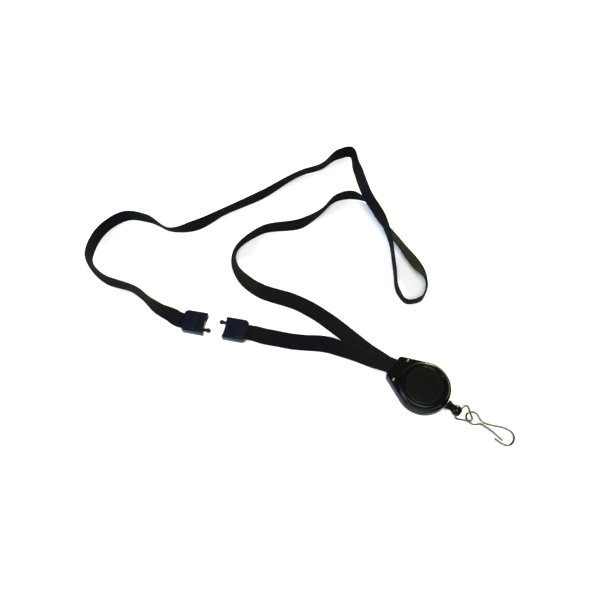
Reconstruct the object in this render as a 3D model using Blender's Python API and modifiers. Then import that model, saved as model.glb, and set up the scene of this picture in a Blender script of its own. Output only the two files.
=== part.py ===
"""Lanyard badge holder: a retractable reel with a wire snap hook, on a flat breakaway neck strap.

Metres, +Z up. The origin is the centre of the reel's flat back. +X runs from the reel to the hook,
and every piece lies on the plane z = 0.
"""

from math import acos, atan2, cos, pi, radians, sin, sqrt, tan

import bmesh
import bpy
from mathutils import Matrix, Vector

GAP = 0.0003
OVERRUN = 0.002

# Reel case: a round body with a tail that takes both strap ends.
CASE_RADIUS = 0.016
TAIL_END = 0.022
TAIL_HALF_WIDTH = 0.0085
TAIL_CORNER = 0.0025
FLOOR_TOP = 0.0012
SPLIT_HEIGHT = 0.0034
RIM_TOP = 0.0058
DOME_RADIUS = 0.0148
DOME_TOP = 0.0085
DOME_SHOULDER = 0.0022
CHAMBER_RADIUS = 0.0134
CHAMBER_TOP = 0.0062
CAP_RADIUS = 0.0119
CAP_BOTTOM = 0.0076
CAP_TOP = 0.0087
POST_RADIUS = 0.0016
PIN_X = -0.0165
PIN_Y = 0.0076
PIN_RADIUS = 0.0006
PIN_HEAD_RADIUS = 0.001
PIN_HEAD_HEIGHT = 0.0007
PIN_FOOT = 0.0010

# Spool and its spring.
SPOOL_RADIUS = 0.0124
SPOOL_BOTTOM = 0.0015
SPOOL_TOP = 0.0059
FLANGE = 0.0006
DRUM_RADIUS = 0.0086
DRUM_WALL = 0.0007
SPRING_TURNS = 5
SPRING_INNER = 0.0021
SPRING_OUTER = 0.0074
SPRING_STRIP = 0.0002
WINDING_RADIUS = 0.0112

# Pull cord and the moulded end that carries the ring.
CORD_RADIUS = 0.00045
AXIS_HEIGHT = 0.0038
CORD_EXIT_RADIUS = 0.0009
CORD_MOUTH_RADIUS = 0.0032
CORD_MOUTH_DEPTH = 0.0026
SLEEVE_START = 0.0163
BALL_CENTRE = 0.0227
BALL_RADIUS = 0.0033
KNOT_CENTRE = 0.0216
KNOT_RADIUS = 0.00115

# Ring and hook wires.
RING_WIRE = 0.00055
HOOK_WIRE = 0.0006

# Flat strap: its section, and the two halves of the breakaway.
STRAP_WIDTH = 0.010
STRAP_THICKNESS = 0.0012
STRAP_STEP = 0.0105
STRAP_END_X = -0.015
LOWER_STRAP_Z = 0.0022
UPPER_STRAP_Z = 0.0039
HALF_STRAP_Z = 0.0024
REST_GAP = 0.0001
SQUARE_END = 0.0012
SLOT_CLEARANCE = 0.0004
HALF_LENGTH = 0.0145
HALF_WIDTH = 0.014
HALF_HEIGHT = 0.005
BREAKAWAY_ANGLE = radians(27)
RIGHT_HALF_CENTRE = Vector((-0.1116, -0.0394, 0))
HALF_SPACING = 0.0263
HALF_CUT = 0.0022
HALF_CORNER = 0.0008
HALF_SLOT_LOW = 0.0014
HALF_SLOT_HIGH = 0.0034
HALF_SLOT_DEPTH = 0.0085
DISH_RADIUS = 0.030
DISH_DEPTH = 0.0006
PEG_OFFSET = 0.0036
PEG_LENGTH = 0.0040
PEG_STEM = 0.0010
PEG_BULB = 0.0015
PEG_ROOT = 0.0020
SOCKET_RADIUS = 0.0019
SOCKET_DEPTH = 0.0052
LID_BACK = 0.0013
LID_LENGTH = 0.0080
LID_HALF_WIDTH = 0.0057
LID_BOTTOM = 0.0034
LID_TOP = 0.0053

# Free routes of the straps: x, y and lift off the surface in metres, and the roll of the width in degrees.
# The ends inside the reel and inside the breakaway are worked out from those parts.
LONG_ROUTE = [
    (-0.034, 0.000, 0.0004, 0), (-0.095, -0.001, 0, -6), (-0.117, -0.008, 0, 0), (-0.130, -0.009, 0, 25),
    (-0.140, -0.006, 0, 60), (-0.147, 0.001, 0, 90), (-0.145, 0.025, 0, 93),
    (-0.127, 0.047, 0, 84), (-0.123, 0.060, 0, 100), (-0.121, 0.078, 0, 97), (-0.114, 0.086, 0, 93),
    (-0.105, 0.088, 0, 115), (-0.089, 0.082, 0, 132), (-0.066, 0.074, 0, 139), (-0.046, 0.066, 0, 143),
    (-0.0365, 0.059, 0, 98), (-0.0335, 0.048, 0, 84), (-0.040, 0.0405, 0, 77), (-0.047, 0.043, 0, 86),
    (-0.059, 0.056, 0, 90), (-0.071, 0.068, 0.005, 90), (-0.083, 0.076, 0.010, 98),
    (-0.097, 0.082, 0.0115, 108), (-0.125, 0.105, 0.003, 110), (-0.138, 0.115, 0, 98),
    (-0.143, 0.108, 0, 92), (-0.146, 0.092, 0, 77), (-0.153, 0.080, 0, 75), (-0.163, 0.048, 0, 89),
    (-0.174, 0.022, 0, 82), (-0.182, 0.001, 0, 97), (-0.192, -0.011, 0, 71), (-0.210, -0.014, 0, 87),
    (-0.223, -0.021, 0, 93),
    (-0.228, -0.036, 0, 98), (-0.225, -0.051, 0, 102), (-0.219, -0.060, 0, 102), (-0.207, -0.064, 0, 118),
]
END_ROUTE = [
    (-0.201, -0.064, 0, 130), (-0.196, -0.063, 0, 140), (-0.190, -0.061, 0, 141), (-0.184, -0.059, 0, 138),
    (-0.179, -0.058, 0, 132), (-0.174, -0.058, 0, 127), (-0.169, -0.058, 0, 128), (-0.164, -0.058, 0, 138),
    (-0.159, -0.058, 0, 150), (-0.154, -0.057, 0.0004, 162), (-0.149, -0.056, 0.0010, 172),
    (-0.146, -0.056, 0.0014, 176), (-0.144, -0.0555, 0.0016, 179),
]
SHORT_ROUTE = [
    (-0.028, -0.002, 0.0030, -1), (-0.034, -0.004, 0.0026, -2), (-0.041, -0.006, 0.0022, -4),
    (-0.048, -0.008, 0.0018, -8), (-0.054, -0.010, 0.0012, -12), (-0.060, -0.012, 0.0008, -15),
    (-0.066, -0.015, 0.0004, -15), (-0.072, -0.019, 0, -14), (-0.080, -0.024, 0, -14),
    (-0.088, -0.028, 0.0002, -12), (-0.096, -0.032, 0.0008, -7), (-0.101, -0.034, 0.0014, -3),
    (-0.103, -0.035, 0.0016, -1),
]

# The ring is a triangle with rounded corners.
RING_CORNERS = [(0.0252, 0.0066, 0.0056), (0.0340, 0.0014, 0.0010), (0.0234, -0.0046, 0.0023)]
RING_CORNER_RADIUS = 0.0015
# The hook is an eye, a straight shank, an end bend and a nose, and its arm closes on the nose.
EYE_CENTRE = (0.0325, 0.0027, 0.0021)
EYE_RADIUS = 0.0040
EYE_TILT = radians(13.5)
EYE_FROM = radians(82)
EYE_TO = radians(293)
BEND_CENTRE = (0.0532, 0.0052, 0.0007)
BEND_RADIUS = 0.0047
BEND_FROM = radians(-90)
BEND_TO = radians(106)
NOSE_X = 0.0488
SHANK_FOOT = (0.0362, 0.0050, 0.0010)
ARM_OUTLINE = [(0.0350, -0.0003), (0.0378, 0.0022), (0.0405, 0.0026), (0.0526, 0.0022)]
ARM_START_HEIGHT = 0.0029
ARM_FALL = 0.10

BLACK_PLASTIC = (0.012, 0.012, 0.014, 1)
BLACK_FABRIC = (0.010, 0.010, 0.011, 1)
BRIGHT_STEEL = (0.62, 0.62, 0.60, 1)
SPRING_STEEL = (0.35, 0.36, 0.38, 1)
CORD_BLACK = (0.015, 0.015, 0.016, 1)


def clear_scene():
    for obj in list(bpy.data.objects):
        bpy.data.objects.remove(obj, do_unlink=True)


def new_collection(name):
    collection = bpy.data.collections.new(name)
    bpy.context.scene.collection.children.link(collection)
    return collection


def plain_material(name, colour, roughness, metallic):
    material = bpy.data.materials.new(name)
    material.use_nodes = True
    shader = material.node_tree.nodes["Principled BSDF"]
    shader.inputs["Base Color"].default_value = colour
    shader.inputs["Roughness"].default_value = roughness
    shader.inputs["Metallic"].default_value = metallic
    return material


def mesh_object(name, build, collection):
    """A mesh object whose bmesh is filled by build, welded and with its faces turned out."""
    mesh = bpy.data.meshes.new(name)
    bm = bmesh.new()
    build(bm)
    bmesh.ops.remove_doubles(bm, verts=bm.verts, dist=1e-6)
    bmesh.ops.recalc_face_normals(bm, faces=bm.faces)
    bm.to_mesh(mesh)
    bm.free()
    obj = bpy.data.objects.new(name, mesh)
    collection.objects.link(obj)
    return obj


def as_mesh(obj, collection):
    """Replace an object by the welded mesh of its evaluated shape, with its place written in."""
    bpy.context.view_layer.update()
    graph = bpy.context.evaluated_depsgraph_get()
    mesh = bpy.data.meshes.new_from_object(obj.evaluated_get(graph))
    mesh.transform(obj.matrix_world)
    bm = bmesh.new()
    bm.from_mesh(mesh)
    bmesh.ops.remove_doubles(bm, verts=bm.verts, dist=1e-6)
    bmesh.ops.recalc_face_normals(bm, faces=bm.faces)
    bm.to_mesh(mesh)
    bm.free()
    name = obj.name
    bpy.data.objects.remove(obj, do_unlink=True)
    made = bpy.data.objects.new(name, mesh)
    collection.objects.link(made)
    return made


def slab(name, outline, bottom, top, collection):
    """A flat outline, given as XY points, filled and extruded between two heights."""
    curve = bpy.data.curves.new(name, "CURVE")
    curve.dimensions = "2D"
    curve.fill_mode = "BOTH"
    curve.extrude = (top - bottom) / 2
    spline = curve.splines.new("POLY")
    spline.points.add(len(outline) - 1)
    for point, (x, y) in zip(spline.points, outline):
        point.co = (x, y, 0, 1)
    spline.use_cyclic_u = True
    obj = bpy.data.objects.new(name, curve)
    obj.location.z = (bottom + top) / 2
    collection.objects.link(obj)
    return as_mesh(obj, collection)


def turned(name, profile, steps, collection):
    """A closed profile of (radius, height) points turned about Z."""
    mesh = bpy.data.meshes.new(name)
    count = len(profile)
    edges = [(i, i + 1) for i in range(count - 1)]
    if profile[0][0] > 0 or profile[-1][0] > 0:
        edges.append((count - 1, 0))
    mesh.from_pydata([(radius, 0, height) for radius, height in profile], edges, [])
    obj = bpy.data.objects.new(name, mesh)
    collection.objects.link(obj)
    screw = obj.modifiers.new("turn", "SCREW")
    screw.steps = steps
    screw.render_steps = steps
    screw.use_merge_vertices = True
    screw.merge_threshold = 1e-6
    return as_mesh(obj, collection)


def cylinder(name, radius, bottom, top, collection, steps=32, place=Matrix()):
    def build(bm):
        middle = Matrix.Translation((0, 0, (bottom + top) / 2))
        bmesh.ops.create_cone(bm, cap_ends=True, segments=steps, radius1=radius, radius2=radius,
                              depth=top - bottom, matrix=place @ middle)

    return mesh_object(name, build, collection)


def box(name, low, high, collection, place=Matrix()):
    low = Vector(low)
    high = Vector(high)

    def build(bm):
        scale = Matrix.Diagonal((*(high - low), 1))
        bmesh.ops.create_cube(bm, size=1, matrix=place @ Matrix.Translation((low + high) / 2) @ scale)

    return mesh_object(name, build, collection)


def edge_bevel(obj, width, segments=2, angle=40):
    bevel = obj.modifiers.new("edges", "BEVEL")
    bevel.width = width
    bevel.segments = segments
    bevel.limit_method = "ANGLE"
    bevel.angle_limit = radians(angle)


def combine(obj, tool, operation):
    """Join or cut obj by another object, which moves to the cutters' collection."""
    for collection in list(tool.users_collection):
        collection.objects.unlink(tool)
    cutters.objects.link(tool)
    tool.hide_render = True
    tool.display_type = "WIRE"
    step = obj.modifiers.new(tool.name, "BOOLEAN")
    step.operation = operation
    step.object = tool


def finish(obj, material):
    obj.data.materials.clear()
    obj.data.materials.append(material)
    if obj.type == "MESH":
        obj.data.shade_smooth()
        obj.data.set_sharp_from_angle(angle=radians(35))


def along_x(x, y, z):
    """A frame whose +Z runs along the world's +X, with its origin at the given point."""
    return Matrix.Translation((x, y, z)) @ Matrix.Rotation(pi / 2, 4, "Y")


def smooth_points(route, step):
    """Points on a smooth curve through every row of the route, each span cut into steps."""
    rows = [Vector(row) for row in route]
    at = [0.0]
    for a, b in zip(rows, rows[1:]):
        at.append(at[-1] + (b.xyz - a.xyz).length)
    slopes = [(rows[1] - rows[0]) / (at[1] - at[0])]
    for i in range(1, len(rows) - 1):
        before = at[i] - at[i - 1]
        after = at[i + 1] - at[i]
        arriving = (rows[i] - rows[i - 1]) / before
        leaving = (rows[i + 1] - rows[i]) / after
        slopes.append((arriving * after + leaving * before) / (before + after))
    slopes.append((rows[-1] - rows[-2]) / (at[-1] - at[-2]))
    points = []
    for i in range(len(rows) - 1):
        span = at[i + 1] - at[i]
        count = max(1, round(span / step + 0.3))
        for j in range(count):
            u = j / count
            points.append(
                rows[i] * (2 * u**3 - 3 * u**2 + 1)
                + slopes[i] * span * (u**3 - 2 * u**2 + u)
                + rows[i + 1] * (3 * u**2 - 2 * u**3)
                + slopes[i + 1] * span * (u**3 - u**2)
            )
    points.append(rows[-1])
    return points


def wire(name, points, radius, sides, collection, closed=False):
    """A round wire through the given points."""
    curve = bpy.data.curves.new(name, "CURVE")
    curve.dimensions = "3D"
    curve.bevel_depth = radius
    curve.bevel_resolution = sides
    curve.use_fill_caps = not closed
    spline = curve.splines.new("POLY")
    spline.points.add(len(points) - 1)
    for point, place in zip(spline.points, points):
        point.co = (*place[:3], 1)
    spline.use_cyclic_u = closed
    obj = bpy.data.objects.new(name, curve)
    collection.objects.link(obj)
    return obj


def strap_section():
    """The strap's section: a flat bar with its corners cut off."""
    corner = STRAP_THICKNESS / 3
    half_width = STRAP_WIDTH / 2
    half = STRAP_THICKNESS / 2
    quarter = [(half_width, half - corner), (half_width - corner, half)]
    outline = quarter + [(-x, y) for x, y in reversed(quarter)]
    outline += [(-x, -y) for x, y in outline]
    outline.reverse()
    curve = bpy.data.curves.new("strap_section", "CURVE")
    curve.dimensions = "2D"
    curve.fill_mode = "NONE"
    spline = curve.splines.new("POLY")
    spline.points.add(len(outline) - 1)
    for point, (x, y) in zip(spline.points, outline):
        point.co = (x, y, 0, 1)
    spline.use_cyclic_u = True
    obj = bpy.data.objects.new("strap_section", curve)
    cutters.objects.link(obj)
    obj.hide_render = True
    obj.display_type = "WIRE"
    return obj


def resting_height(roll):
    """The height of a rolled strap's centre line when its lowest edge is on the surface."""
    return STRAP_WIDTH / 2 * abs(sin(roll)) + STRAP_THICKNESS / 2 * abs(cos(roll)) + REST_GAP


def reel_end(height):
    """A strap's two points in the reel's tail, at the height of its place in the slot."""
    lift = height - resting_height(0)
    return [(STRAP_END_X, 0, lift, 0), (-TAIL_END, 0, lift, 0)]


def half_end(left):
    """A strap's two points in a breakaway half: at its rear edge and at its middle."""
    lift = HALF_STRAP_Z - resting_height(0)
    roll = 180 if left else 0
    points = [breakaway_place(left) @ Vector((x, 0, 0)) for x in (-HALF_LENGTH / 2, 0)]
    return [(point.x, point.y, lift, roll) for point in points]


def strap_points(route):
    """Smooth points along a route, each with its lift and its roll in radians."""
    return smooth_points([(x, y, lift, radians(roll)) for x, y, lift, roll in route], STRAP_STEP)


def cut_strap(points, joint):
    """Split a strap's points near a joint, with a gap there and both new ends square to the strap."""
    middle = min(range(len(points)), key=lambda i: (points[i].xy - Vector(joint[:2])).length)
    ahead = Vector((*(points[middle + 1].xyz - points[middle - 1].xyz).normalized(), 0))
    near = ahead * GAP
    far = ahead * (GAP + SQUARE_END)
    before = points[:middle] + [points[middle] - far, points[middle] - near]
    after = [points[middle] + near, points[middle] + far] + points[middle + 1:]
    return before, after


def strap(name, points, section):
    """A flat strap through its points, resting on its lowest edge wherever it isn't lifted."""
    curve = bpy.data.curves.new(name, "CURVE")
    curve.dimensions = "3D"
    curve.twist_mode = "Z_UP"
    curve.bevel_mode = "OBJECT"
    curve.bevel_object = section
    curve.use_fill_caps = True
    spline = curve.splines.new("POLY")
    spline.points.add(len(points) - 1)
    for point, (x, y, lift, roll) in zip(spline.points, points):
        point.co = (x, y, max(lift, 0) + resting_height(roll), 1)
        point.tilt = roll
    obj = bpy.data.objects.new(name, curve)
    parts.objects.link(obj)
    finish(obj, fabric)


def case_outline():
    """The reel's outline: a circle, and a tail that runs off it along its tangents."""
    corner_x = -TAIL_END + TAIL_CORNER
    corner_y = TAIL_HALF_WIDTH - TAIL_CORNER
    reach = sqrt(corner_x**2 + corner_y**2)
    tangent = atan2(corner_y, corner_x) - acos((CASE_RADIUS - TAIL_CORNER) / reach)
    big_steps = 44
    small_steps = 5
    outline = []
    for i in range(big_steps + 1):
        angle = -tangent + 2 * tangent * i / big_steps
        outline.append((CASE_RADIUS * cos(angle), CASE_RADIUS * sin(angle)))
    for side in (1, -1):
        corner = []
        for i in range(small_steps + 1):
            angle = tangent + (pi - tangent) * i / small_steps
            edge_y = corner_y + TAIL_CORNER * sin(angle)
            corner.append((corner_x + TAIL_CORNER * cos(angle), side * edge_y))
        outline += corner if side > 0 else list(reversed(corner))
    return outline


def cut_case(obj, label):
    """Cut the hollows that both halves of the case share."""
    chamber = cylinder(label + "_chamber", CHAMBER_RADIUS, FLOOR_TOP, CHAMBER_TOP, parts, 48)
    combine(obj, chamber, "DIFFERENCE")
    half_slot = STRAP_WIDTH / 2 + SLOT_CLEARANCE
    low = LOWER_STRAP_Z - STRAP_THICKNESS / 2 - GAP
    high = UPPER_STRAP_Z + STRAP_THICKNESS / 2 + GAP
    slot = box(label + "_strap_slot", (-TAIL_END - OVERRUN, -half_slot, low),
               (STRAP_END_X + SLOT_CLEARANCE, half_slot, high), parts)
    combine(obj, slot, "DIFFERENCE")
    exit_hole = cylinder(label + "_cord_exit", CORD_EXIT_RADIUS, 0, 3 * OVERRUN, parts, 20,
                         along_x(CHAMBER_RADIUS - 0.001, 0, AXIS_HEIGHT))
    combine(obj, exit_hole, "DIFFERENCE")

    def flare(bm):
        bmesh.ops.create_cone(bm, cap_ends=True, segments=20, radius1=CORD_MOUTH_RADIUS,
                              radius2=CORD_EXIT_RADIUS, depth=CORD_MOUTH_DEPTH,
                              matrix=along_x(CHAMBER_RADIUS + 0.0005, 0, AXIS_HEIGHT))

    combine(obj, mesh_object(label + "_cord_mouth", flare, parts), "DIFFERENCE")
    for side in (1, -1):
        place = Matrix.Translation((PIN_X, side * PIN_Y, 0))
        hole = cylinder(label + "_pin_hole_" + str(side), PIN_RADIUS + GAP, PIN_FOOT - GAP,
                        RIM_TOP + 2 * OVERRUN, parts, 16, place)
        combine(obj, hole, "DIFFERENCE")


def reel_back_case():
    case = slab("reel_back_case", case_outline(), 0, SPLIT_HEIGHT, parts)
    edge_bevel(case, 0.0005)
    cut_case(case, "back")
    post = cylinder("back_post", POST_RADIUS, FLOOR_TOP / 2, CHAMBER_TOP - GAP, parts, 20)
    combine(case, post, "UNION")
    finish(case, plastic)


def reel_front_cover():
    cover = slab("reel_front_cover", case_outline(), SPLIT_HEIGHT + GAP, RIM_TOP, parts)
    edge_bevel(cover, 0.0007)
    profile = [(0, DOME_TOP)]
    arc_steps = 6
    for i in range(arc_steps + 1):
        angle = pi / 2 * (1 - i / arc_steps)
        radius = DOME_RADIUS - DOME_SHOULDER * (1 - cos(angle))
        profile.append((radius, DOME_TOP - DOME_SHOULDER * (1 - sin(angle))))
    profile += [(DOME_RADIUS, RIM_TOP - 0.001), (0, RIM_TOP - 0.001)]
    combine(cover, turned("cover_dome", profile, 56, parts), "UNION")
    recess = cylinder("cover_recess", CAP_RADIUS + GAP, CAP_BOTTOM - GAP, DOME_TOP + OVERRUN, parts, 48)
    combine(cover, recess, "DIFFERENCE")
    cut_case(cover, "front")
    finish(cover, plastic)


def front_cap_disc():
    crown = 0.0003
    profile = [
        (0, CAP_TOP), (CAP_RADIUS * 0.6, CAP_TOP - crown * 0.4), (CAP_RADIUS - 0.0005, CAP_TOP - crown),
        (CAP_RADIUS, CAP_TOP - 0.0007), (CAP_RADIUS, CAP_BOTTOM), (0, CAP_BOTTOM),
    ]
    finish(turned("front_cap_disc", profile, 48, parts), plastic)


def case_pin(name, side):
    top = RIM_TOP + GAP
    profile = [
        (0, top + PIN_HEAD_HEIGHT), (PIN_HEAD_RADIUS * 0.6, top + PIN_HEAD_HEIGHT * 0.7),
        (PIN_HEAD_RADIUS, top), (PIN_RADIUS, top), (PIN_RADIUS, PIN_FOOT), (0, PIN_FOOT),
    ]
    pin = turned(name, profile, 16, parts)
    pin.location = (PIN_X, side * PIN_Y, 0)
    finish(pin, steel)


def spool():
    hub = POST_RADIUS + 0.0004
    inner = DRUM_RADIUS - DRUM_WALL
    profile = [
        (inner, SPOOL_TOP), (SPOOL_RADIUS, SPOOL_TOP), (SPOOL_RADIUS, SPOOL_TOP - FLANGE),
        (DRUM_RADIUS, SPOOL_TOP - FLANGE), (DRUM_RADIUS, SPOOL_BOTTOM + FLANGE),
        (SPOOL_RADIUS, SPOOL_BOTTOM + FLANGE), (SPOOL_RADIUS, SPOOL_BOTTOM), (hub, SPOOL_BOTTOM),
        (hub, SPOOL_BOTTOM + FLANGE), (inner, SPOOL_BOTTOM + FLANGE),
    ]
    finish(turned("spool", profile, 40, parts), plastic)


def power_spring():
    """A flat strip wound in a spiral between the post and the drum."""
    low = SPOOL_BOTTOM + FLANGE + GAP
    high = SPOOL_TOP - FLANGE
    per_turn = 14
    curve = bpy.data.curves.new("power_spring", "CURVE")
    curve.dimensions = "3D"
    curve.extrude = (high - low) / 2
    count = SPRING_TURNS * per_turn
    spline = curve.splines.new("POLY")
    spline.points.add(count)
    for i, point in enumerate(spline.points):
        radius = SPRING_INNER + (SPRING_OUTER - SPRING_INNER) * i / count
        angle = 2 * pi * i / per_turn
        point.co = (radius * cos(angle), radius * sin(angle), 0, 1)
    obj = bpy.data.objects.new("power_spring", curve)
    obj.location.z = (low + high) / 2
    parts.objects.link(obj)
    strip = obj.modifiers.new("strip", "SOLIDIFY")
    strip.thickness = SPRING_STRIP
    strip.offset = 0
    finish(as_mesh(obj, parts), spring_steel)


def wound_cord():
    low = SPOOL_BOTTOM + FLANGE + GAP
    high = SPOOL_TOP - FLANGE - GAP
    inner = DRUM_RADIUS + GAP
    profile = [
        (inner, high), (WINDING_RADIUS - 0.0004, high), (WINDING_RADIUS, high - 0.0005),
        (WINDING_RADIUS, low + 0.0005), (WINDING_RADIUS - 0.0004, low), (inner, low),
    ]
    finish(turned("wound_cord", profile, 40, parts), cord)


def cord_lead():
    """The cord's run from the winding, through the case's mouth, to the knot in the moulded end."""
    route = [
        (0.0098, 0.0069, AXIS_HEIGHT, 0), (0.0120, 0.0038, AXIS_HEIGHT, 0),
        (0.0134, 0.0016, AXIS_HEIGHT, 0),
        (0.0147, 0.0003, AXIS_HEIGHT, 0), (0.0162, 0.0, AXIS_HEIGHT, 0),
        (KNOT_CENTRE - KNOT_RADIUS - GAP, 0.0, AXIS_HEIGHT, 0),
    ]
    finish(wire("cord_lead", smooth_points(route, 0.0016), CORD_RADIUS, 2, parts), cord)


def cord_end_sleeve():
    """The moulded end: a ribbed neck and a ball, bored for the cord, with a cross hole for the ring."""
    bore = CORD_RADIUS + GAP
    cavity = KNOT_RADIUS + 0.00035
    cavity_start = 0.0202
    rib_pitch = 0.0012
    profile = [(bore, SLEEVE_START)]
    for i in range(3):
        start = SLEEVE_START + i * rib_pitch
        high = 0.0035 - i * 0.00035
        low = high - 0.0006
        profile += [(high - 0.0002, start), (high, start + 0.0002), (high, start + 0.0006),
                    (low, start + 0.0008), (low, start + rib_pitch)]
    ball_steps = 9
    start_angle = pi - 0.72
    mouth_angle = 0.52
    for i in range(ball_steps + 1):
        angle = start_angle + (mouth_angle - start_angle) * i / ball_steps
        profile.append((BALL_RADIUS * sin(angle), BALL_CENTRE + BALL_RADIUS * cos(angle)))
    mouth = BALL_CENTRE + BALL_RADIUS * cos(mouth_angle)
    profile += [(cavity, mouth), (cavity, cavity_start), (bore, cavity_start)]
    sleeve = turned("cord_end_sleeve", profile, 28, parts)
    sleeve.data.transform(Matrix.Translation((0, 0, AXIS_HEIGHT)) @ Matrix.Rotation(pi / 2, 4, "Y"))
    low = Vector(RING_CORNERS[2])
    high = Vector(RING_CORNERS[0])
    middle = (low + high) / 2
    turn = (high - low).to_track_quat("Z", "Y").to_matrix().to_4x4()
    place = Matrix.Translation(middle) @ turn
    hole = cylinder("ring_hole", RING_WIRE + GAP, -0.006, 0.006, parts, 16, place)
    combine(sleeve, hole, "DIFFERENCE")
    finish(sleeve, plastic)


def cord_end_knot():
    def build(bm):
        place = Matrix.Translation((KNOT_CENTRE, 0, AXIS_HEIGHT))
        bmesh.ops.create_uvsphere(bm, u_segments=16, v_segments=10, radius=KNOT_RADIUS, matrix=place)

    finish(mesh_object("cord_end_knot", build, parts), cord)


def rounded_loop(corners, radius, steps):
    """A closed run of points through three or more corners, each rounded by an arc."""
    corners = [Vector(corner) for corner in corners]
    points = []
    for i, corner in enumerate(corners):
        back = (corners[i - 1] - corner).normalized()
        ahead = (corners[(i + 1) % len(corners)] - corner).normalized()
        half_angle = back.angle(ahead) / 2
        centre = corner + (back + ahead).normalized() * radius / sin(half_angle)
        start = corner + back * radius / tan(half_angle) - centre
        end = corner + ahead * radius / tan(half_angle) - centre
        for j in range(steps + 1):
            points.append(centre + radius * start.normalized().slerp(end.normalized(), j / steps))
    return points


def d_ring():
    points = rounded_loop(RING_CORNERS, RING_CORNER_RADIUS, 6)
    finish(wire("d_ring", points, RING_WIRE, 2, parts, closed=True), steel)


def arc(centre, radius, start, end, steps, tilt=0):
    """Points round a centre between two angles, in a plane tilted about X."""
    place = Matrix.Translation(centre) @ Matrix.Rotation(-tilt, 4, "X")
    points = []
    for i in range(steps + 1):
        angle = start + (end - start) * i / steps
        points.append(place @ Vector((radius * cos(angle), radius * sin(angle), 0)))
    return points


def snap_hook():
    nose = Vector((NOSE_X, BEND_CENTRE[1] - BEND_RADIUS, BEND_CENTRE[2]))
    bend = arc(BEND_CENTRE, BEND_RADIUS, BEND_FROM, BEND_TO, 8)
    eye = arc(EYE_CENTRE, EYE_RADIUS, EYE_FROM, EYE_TO, 9, EYE_TILT)
    route = [(*point, 0) for point in [nose] + bend + [Vector(SHANK_FOOT)] + eye]
    finish(wire("snap_hook", smooth_points(route, 0.0016), HOOK_WIRE, 2, parts), steel)


def snap_hook_arm():
    """The spring arm, which falls evenly from the eye to the nose."""
    start = ARM_OUTLINE[0][0]
    route = [(x, y, ARM_START_HEIGHT - (x - start) * ARM_FALL, 0) for x, y in ARM_OUTLINE]
    finish(wire("snap_hook_arm", smooth_points(route, 0.0016), HOOK_WIRE, 2, parts), steel)


def breakaway_place(left):
    """The frame of one half: +X runs from its strap to its mating face."""
    along = Vector((cos(BREAKAWAY_ANGLE), sin(BREAKAWAY_ANGLE), 0))
    if left:
        turn = BREAKAWAY_ANGLE
        centre = RIGHT_HALF_CENTRE - along * HALF_SPACING
    else:
        turn = BREAKAWAY_ANGLE + pi
        centre = RIGHT_HALF_CENTRE
    return Matrix.Translation(centre) @ Matrix.Rotation(turn, 4, "Z")


def breakaway_outline():
    """A half seen from above: bevelled corners at the strap, rounded ones at the mating face."""
    back = -HALF_LENGTH / 2
    front = HALF_LENGTH / 2
    side = HALF_WIDTH / 2
    cut = HALF_CUT
    corner = HALF_CORNER
    upper = [
        (front, side - corner), (front - corner * 0.3, side - corner * 0.3), (front - corner, side),
        (back + cut, side), (back + cut * 0.3, side - cut * 0.35), (back, side - cut),
    ]
    return upper + [(x, -y) for x, y in reversed(upper)]


def lid_box(grow):
    """The lid's box in its half's frame, made larger by a clearance for the pocket."""
    back = -HALF_LENGTH / 2 + LID_BACK
    return (
        (back - grow, -LID_HALF_WIDTH - grow, LID_BOTTOM - grow),
        (back + LID_LENGTH + grow, LID_HALF_WIDTH + grow, LID_TOP + grow),
    )


def breakaway_half(side_name, left):
    place = breakaway_place(left)
    name = "breakaway_body_" + side_name
    half = slab(name, breakaway_outline(), 0, HALF_HEIGHT, parts)
    half.data.transform(place)
    edge_bevel(half, 0.0005)
    front = HALF_LENGTH / 2
    slot_half = STRAP_WIDTH / 2 + SLOT_CLEARANCE
    slot = box(name + "_slot", (-front - OVERRUN, -slot_half, HALF_SLOT_LOW),
               (HALF_SLOT_DEPTH - front, slot_half, HALF_SLOT_HIGH), parts, place)
    combine(half, slot, "DIFFERENCE")
    pocket_low, pocket_high = lid_box(GAP)
    pocket_high = (*pocket_high[:2], HALF_HEIGHT + OVERRUN)
    combine(half, box(name + "_pocket", pocket_low, pocket_high, parts, place), "DIFFERENCE")
    dish = cylinder(name + "_dish", DISH_RADIUS, -OVERRUN, HALF_HEIGHT + OVERRUN, parts, 96,
                    place @ Matrix.Translation((front + DISH_RADIUS - DISH_DEPTH, 0, 0)))
    combine(half, dish, "DIFFERENCE")
    socket = cylinder(name + "_socket", SOCKET_RADIUS, -SOCKET_DEPTH, OVERRUN, parts, 24,
                      place @ along_x(front, PEG_OFFSET, HALF_HEIGHT / 2))
    combine(half, socket, "DIFFERENCE")
    profile = [(0, PEG_LENGTH)]
    for angle in (65, 40, 10, -20, -45):
        height = PEG_LENGTH - PEG_BULB + PEG_BULB * sin(radians(angle))
        profile.append((PEG_BULB * cos(radians(angle)), height))
    profile += [(PEG_STEM, PEG_STEM), (PEG_STEM, -PEG_ROOT), (0, -PEG_ROOT)]
    pin = turned(name + "_pin", profile, 20, parts)
    pin.data.transform(place @ along_x(front, -PEG_OFFSET, HALF_HEIGHT / 2))
    combine(half, pin, "UNION")
    finish(half, plastic)


def breakaway_lid(side_name, left):
    low, high = lid_box(0)
    lid = box("breakaway_lid_" + side_name, low, high, parts, breakaway_place(left))
    edge_bevel(lid, 0.0004)
    finish(lid, plastic)


clear_scene()
parts = new_collection("lanyard_badge_holder")
cutters = new_collection("cutters")
plastic = plain_material("black_plastic", BLACK_PLASTIC, 0.35, 0)
fabric = plain_material("strap_fabric", BLACK_FABRIC, 0.85, 0)
steel = plain_material("bright_steel", BRIGHT_STEEL, 0.22, 1)
spring_steel = plain_material("spring_steel", SPRING_STEEL, 0.3, 1)
cord = plain_material("cord_black", CORD_BLACK, 0.7, 0)

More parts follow.
